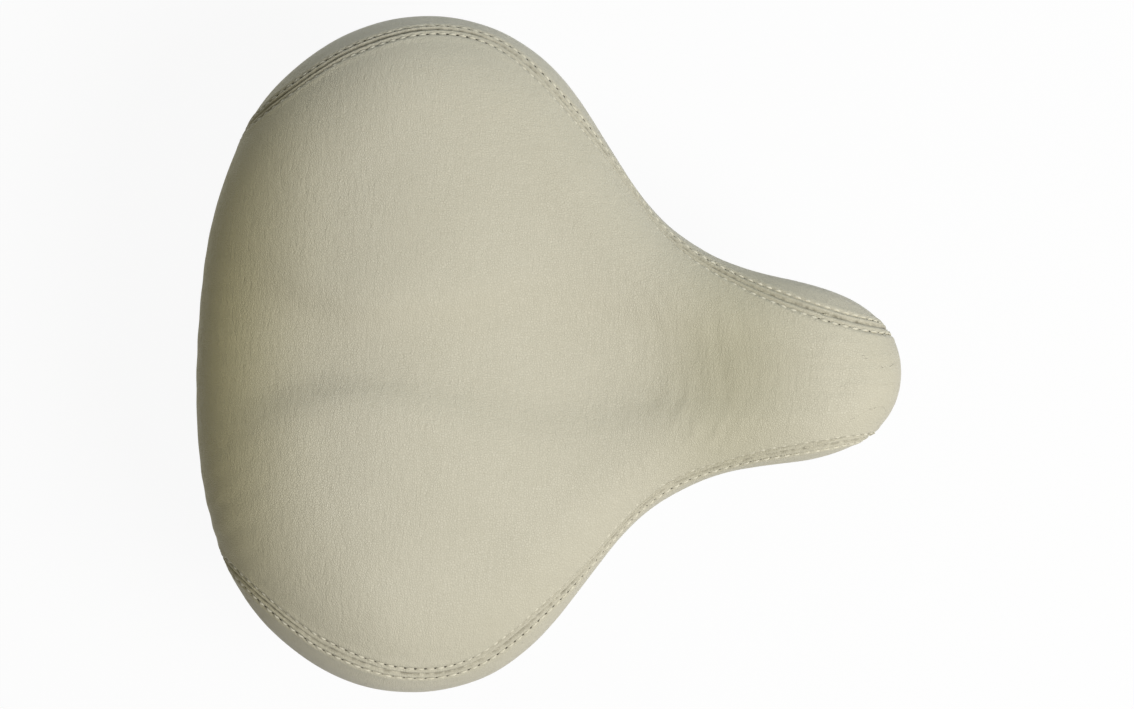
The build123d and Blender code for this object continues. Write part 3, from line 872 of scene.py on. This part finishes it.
for side, label in ((1, "left"), (-1, "right")):
    panel = side_panel(side, "side_panel_" + label)
    thicken(panel)
    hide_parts("cover_side_panel_" + label)
    finish_piece(panel, leather, "seat")

# %% [markdown]
# ## Topstitching
# One stitch is a small plump grain of thread whose two ends dive into the leather. It is modelled once
# and set down every four millimetres along each of the four rows, turned to the row and to the surface.
# Both the stitch and the hole start as a ball of one millimetre, stretched to its length, width and height.

# %% One stitch and one hole
ball_radius = 0.5
ball_segments = 8
stitch_size = (2.9, 0.95, 0.80)
stitch_dive = 0.34
stitch_lift = 0.20
hole_size = (1.10, 1.00, 0.40)
hole_lift = 0.12


def one_stitch():
    select_only()
    bpy.ops.mesh.primitive_uv_sphere_add(segments=ball_segments, ring_count=6, radius=ball_radius * MM,
                                         rotation=(0, math.pi / 2, 0))
    stitch = newest("stitch")
    start_edit(stitch)
    bpy.ops.transform.resize(value=stitch_size)
    end_edit()
    for vertex in stitch.data.vertices:
        vertex.co.z -= stitch_dive * MM * (vertex.co.x / (stitch_size[0] / 2 * MM)) ** 2
    return stitch


def one_hole():
    select_only()
    bpy.ops.mesh.primitive_uv_sphere_add(segments=ball_segments, ring_count=4, radius=ball_radius * MM)
    hole = newest("needle_hole")
    start_edit(hole)
    bpy.ops.transform.resize(value=hole_size)
    end_edit()
    return hole


def set_down(template, name, places, material, body):
    """Copies of a template at each place, joined into one piece."""
    built = bmesh.new()
    for place in places:
        copy = template.data.copy()
        copy.transform(place)
        built.from_mesh(copy)
        bpy.data.meshes.remove(copy)
    mesh = bpy.data.meshes.new(name)
    built.to_mesh(mesh)
    built.free()
    piece = bpy.data.objects.new(name, mesh)
    bpy.context.scene.collection.objects.link(piece)
    mesh.shade_smooth()
    finish_piece(piece, material, body)
    return piece


# %% [markdown]
# ## Setting the stitches down
# A row runs beside its seam at a fixed distance. Each stitch stands on the sewn surface, with its length
# along the row. The holes use the same row, half a pitch further on. Copies joined into one mesh are
# lighter than hundreds of objects.

# %% Rows of stitches
def row_line(side, across):
    """Flat line of a stitch row: beside the seam, towards the centre panel or the side panel."""
    seam = seams[side][0]
    ahead = np.gradient(seam, axis=0)
    ahead = ahead / np.linalg.norm(ahead, axis=1)[:, None]
    to_centre = np.stack([ahead[:, 1], -ahead[:, 0]], axis=1) * side
    return seam + to_centre * across


look_ahead = 0.5


def row_places(side, across, lift, phase):
    """Placement matrices at every pitch along a row, on the sewn surface, shifted by a share of a pitch."""
    line = row_line(side, across)
    run = np.linspace(0, seam_length[side], len(line))
    places = []
    spots = np.arange(stitch_pitch * (1 + phase), run[-1] - stitch_pitch, stitch_pitch)
    flat, flat_ahead = (np.column_stack([np.interp(spots + step, run, line[:, k]) for k in range(2)])
                        for step in (0, look_ahead))
    bare, _ = skin(flat)
    height = sewn_lift(bare, np.full(len(flat), abs(across)), spots)
    spot, normal = skin(flat, height + lift)
    ahead_spot, _ = skin(flat_ahead, height + lift)
    for centre_point, up, front in zip(spot, normal, ahead_spot - spot):
        x_axis = Vector(front).normalized()
        z_axis = Vector(up)
        y_axis = z_axis.cross(x_axis).normalized()
        z_axis = x_axis.cross(y_axis)
        place = Matrix((x_axis, y_axis, z_axis)).transposed().to_4x4()
        place.translation = Vector(centre_point) * MM
        places.append(place)
    return places


stitch = one_stitch()
hole = one_hole()
for side, label in ((1, "left"), (-1, "right")):
    for across, row_name in ((stitch_row, "centre_row"), (-stitch_row, "side_row")):
        places = row_places(side, across, stitch_lift, 0.0)
        set_down(stitch, f"stitches_{label}_{row_name}", places, thread, "seat")
        places = row_places(side, across, hole_lift, 0.5)
        set_down(hole, f"needle_holes_{label}_{row_name}", places, hole_shade_finish, "seat")
for template in (stitch, hole):
    bpy.data.objects.remove(template)

# %% [markdown]
# ## The foam inside
# The foam is hidden by the cover, but a part that is opened up should still hold foam. The frame's plain
# solid is remeshed into even faces, drawn in slightly so that it never breaks through, and relaxed. It is
# done on a copy without the frame's own marks, because the frame's part has to stay as it is.

# %% Foam pad
foam_grain = 3.0
foam_draw_in = 2.6


def foam_pad():
    pad = frame["nodes"]["foam_pad"].copy()
    pad.data = pad.data.copy()
    pad.name = "foam_cushion"
    for key in list(pad.keys()):
        if key.startswith("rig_"):
            del pad[key]
    pad.parent = None
    bpy.context.scene.collection.objects.link(pad)
    select_only(pad)
    apply_modifier(pad, "REMESH", mode="VOXEL", voxel_size=foam_grain * MM)
    apply_modifier(pad, "DISPLACE", strength=-foam_draw_in * MM, mid_level=0.0)
    apply_modifier(pad, "SMOOTH", factor=0.5, iterations=4)
    smooth(pad, angle=60)
    return pad


foam = foam_pad()
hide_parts("foam_pad")
finish_piece(foam, foam_finish, "seat")

# %% [markdown]
# ## Coil springs
# A real compression spring has closed ends: the last turn at each end lies flat against its seat. The
# wire follows a helix whose pitch eases to the wire's own thickness at both ends. It stands between the
# rail frame and the seat.

# %% Winding the springs
spring_wire = 2.5
spring_turns = 6.5
seat_gap = 0.05
closed_turns = 0.75
opened_turns = 1.25
closed_rise = 0.035
opened_rise = 0.13
easing_window = 25
wire_points = 420
wire_roundness = 5


def tube(name, points, radius):
    curve = bpy.data.curves.new(name, "CURVE")
    curve.dimensions = "3D"
    curve.bevel_depth = radius * MM
    curve.bevel_resolution = wire_roundness
    curve.use_fill_caps = True
    spline = curve.splines.new("POLY")
    spline.points.add(len(points) - 1)
    for target, point in zip(spline.points, points):
        target.co = (*(Vector(point) * MM), 1)
    piece = bpy.data.objects.new(name, curve)
    bpy.context.scene.collection.objects.link(piece)
    select_only(piece)
    bpy.ops.object.convert(target="MESH")
    return bpy.context.active_object


def coil(side_name):
    low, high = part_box("coil_spring_" + side_name)
    centre_x, centre_y = (low.x + high.x) / 2 / MM, (low.y + high.y) / 2 / MM
    radius = (high.x - low.x) / 2 / MM - spring_wire
    bottom = low.z / MM + spring_wire + seat_gap
    top = high.z / MM - spring_wire - seat_gap
    share = np.linspace(0, 1, wire_points)
    turns = [0, closed_turns, opened_turns,
             spring_turns - opened_turns, spring_turns - closed_turns, spring_turns]
    rises = [0, closed_rise, opened_rise, 1 - opened_rise, 1 - closed_rise, 1]
    rise = np.pad(np.interp(share * spring_turns, turns, rises), easing_window // 2,
                  mode="reflect", reflect_type="odd")
    rise = np.convolve(rise, np.ones(easing_window) / easing_window, "valid")
    angle = 2 * math.pi * spring_turns * share
    points = np.column_stack([centre_x + radius * np.cos(angle), centre_y + radius * np.sin(angle),
                              bottom + (top - bottom) * rise])
    spring = tube("spring_" + side_name, points, spring_wire)
    smooth(spring, angle=50)
    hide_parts("coil_spring_" + side_name)
    finish_piece(spring, chrome, None)
    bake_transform(spring)


for side_name in ("left", "right"):
    coil(side_name)

# %% [markdown]
# ## Floor, light and camera
# The saddle is seen from straight above with its nose to the right, on white. A broad soft lamp stands
# ahead of the nose, so the tail falls into shade. A weaker bluish lamp stands low beside it, and the pale
# floor and the world fill in the rest. The floor lies low enough for the springs to clear it when the
# saddle tilts back.

# %% Stage
floor_size = 8
floor_drop = 0.030
floor_grey = 0.80
floor_glow = 0.93
world_fill = 0.20
warm_fill = (1.0, 0.97, 0.88)
white = (1.0, 1.0, 1.0)
cool_white = (0.70, 0.84, 1.0)
lamp_size = 0.8


def white_floor():
    select_only()
    bpy.ops.mesh.primitive_plane_add(size=floor_size, location=(0, 0, cad_box[0].z - floor_drop))
    floor = newest("floor")
    material = bpy.data.materials.new("white_floor")
    material.use_nodes = True
    tree = material.node_tree
    here = Signal(tree, None)
    rays = tree.nodes.new("ShaderNodeLightPath")
    seen = Signal(tree, rays.outputs["Is Camera Ray"]) + Signal(tree, rays.outputs["Is Glossy Ray"])
    lit = tree.nodes["Principled BSDF"]
    lit.inputs["Base Color"].default_value = (floor_grey, floor_grey, floor_grey, 1)
    lit.inputs["Roughness"].default_value = 0.9
    glow = here.node("ShaderNodeEmission", inputs={"Color": (*white, 1), "Strength": 1.0})
    share = (seen * floor_glow).clamp()
    mixed = here.node("ShaderNodeMixShader", inputs={0: share, 1: Signal(tree, lit.outputs[0]), 2: glow})
    tree.links.new(mixed.socket, tree.nodes["Material Output"].inputs["Surface"])
    floor.data.materials.append(material)


def white_world():
    world = bpy.data.worlds.new("studio")
    bpy.context.scene.world = world
    world.use_nodes = True
    tree = world.node_tree
    rays = tree.nodes.new("ShaderNodeLightPath")
    seen = Signal(tree, rays.outputs["Is Camera Ray"]) + Signal(tree, rays.outputs["Is Transmission Ray"])
    level = seen.clamp() * (1.0 - world_fill) + world_fill
    background = tree.nodes["Background"]
    tint = seen.clamp().tint(warm_fill, white)
    tree.links.new(tint.socket, background.inputs["Color"])
    tree.links.new(level.socket, background.inputs["Strength"])


def lamp(name, place, power, colour):
    light = bpy.data.lights.new(name, "AREA")
    light.color = colour
    light.shape = "DISK"
    light.size = lamp_size
    light.energy = power
    holder = bpy.data.objects.new(name, light)
    holder.location = place
    holder.rotation_euler = (-Vector(place)).to_track_quat("-Z", "Y").to_euler()
    bpy.context.scene.collection.objects.link(holder)


white_floor()
white_world()
lamp("key", place=(0.76, -0.32, 1.32), power=22.2, colour=white)
lamp("cool_side", place=(0.15, 1.30, 0.30), power=3.5, colour=cool_white)


# %% [markdown]
# ## The view
# A long lens keeps the skirt nearly hidden, as it is from straight above. The lens is worked out from the
# width that should be seen, and colours are shown as they are written.

# %% Camera and colour
# The view is seen_width wide at the height of the rim, and turned a little about the vertical.
rim_height = 0.085
view_distance = 1.15
seen_width = 0.433
view_middle = (-0.002, 0.0026)
view_turn = 2.75


def camera():
    data = bpy.data.cameras.new("camera")
    data.sensor_width = 36.0
    data.lens = data.sensor_width * view_distance / seen_width
    holder = bpy.data.objects.new("camera", data)
    holder.location = (*view_middle, rim_height + view_distance)
    holder.rotation_euler = (0, 0, math.radians(view_turn))
    bpy.context.scene.collection.objects.link(holder)
    bpy.context.scene.camera = holder


camera()
bpy.context.scene.view_settings.view_transform = "Standard"
